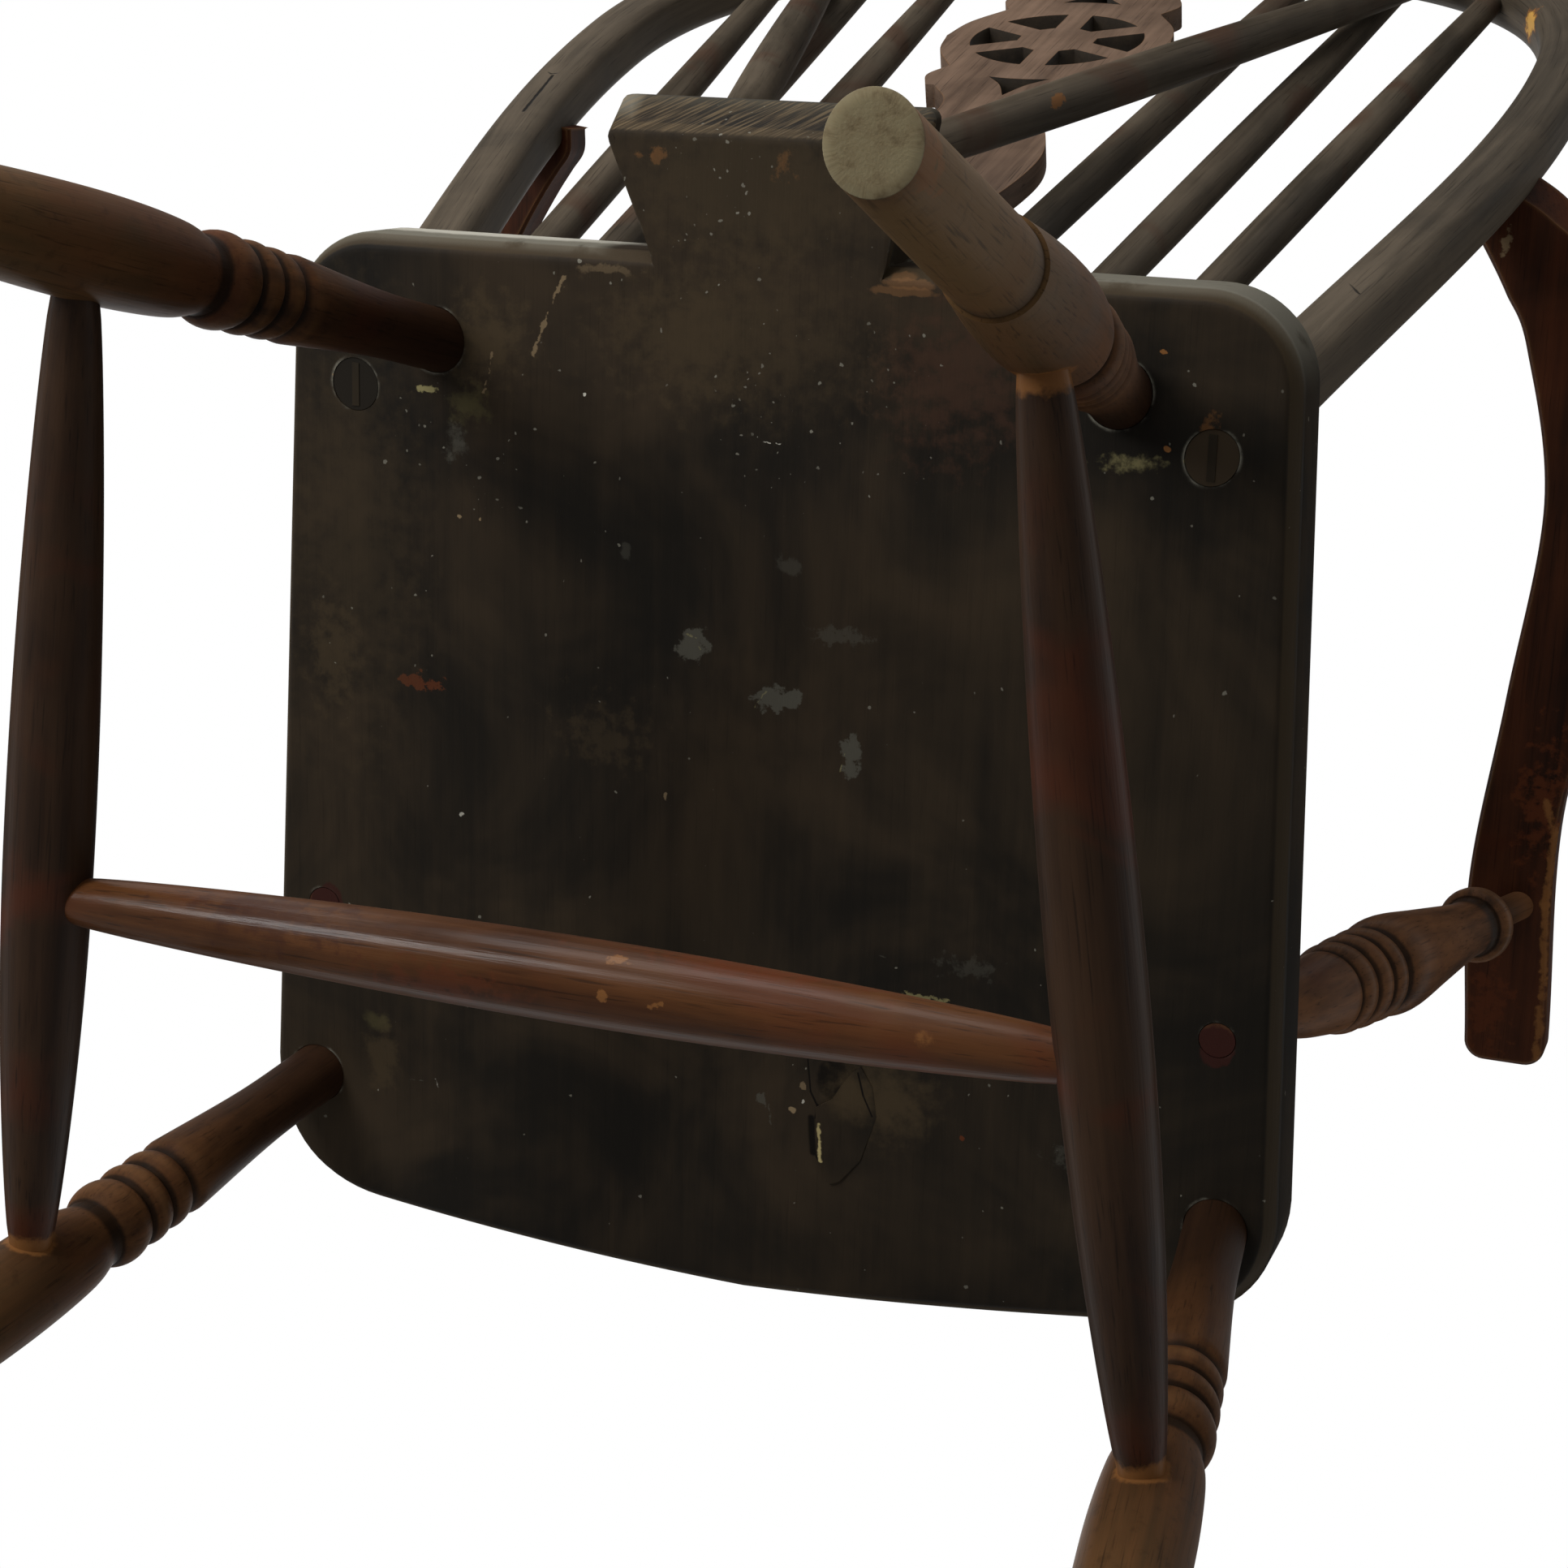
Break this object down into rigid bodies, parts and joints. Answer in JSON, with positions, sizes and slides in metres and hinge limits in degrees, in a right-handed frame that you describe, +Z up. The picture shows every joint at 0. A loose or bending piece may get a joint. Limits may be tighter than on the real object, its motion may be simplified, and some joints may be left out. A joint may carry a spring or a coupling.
{
  "type": "windsor chair",
  "caption": "Bow-back armchair with a pierced wheel splat, braced tail seat, turned splayed legs and an H stretcher.",
  "frame": {"origin": "on the floor under the middle of the chair's bounding box", "axes": "+Z up, the sitter faces -Y, the sitter's left is +X"},
  "size_m": [0.605, 0.5546, 0.9788],
  "materials": {
    "seat": "old dark stain and grime, worn brown",
    "turned": "dark brown stain, satin, worn on the beads",
    "stretcher": "dark brown stain, glossy from wear",
    "back": "grey brown stain, satin",
    "arm": "dark red brown stain, worn orange on the edges",
    "bare_wood": "bare wood"
  },
  "bodies": {
    "root": {"seat": "seat", "leg_front_left": "turned", "leg_front_right": "turned", "leg_rear_left": "turned", "leg_rear_right": "turned", "side_stretcher_left": "stretcher", "side_stretcher_right": "stretcher", "cross_stretcher": "stretcher", "bow": "back", "bow_wedge_left": "bare_wood", "bow_wedge_right": "bare_wood", "splat": "back", "brace_left": "back", "brace_right": "back", "arm_left": "arm", "arm_right": "arm", "arm_dowel_left": "bare_wood", "arm_dowel_right": "bare_wood", "arm_post_left": "turned", "arm_post_right": "turned", "spindle_left_inner": "back", "spindle_left_middle": "back", "spindle_left_outer": "back", "spindle_right_inner": "back", "spindle_right_middle": "back", "spindle_right_outer": "back"}
  },
  "joints": []
}
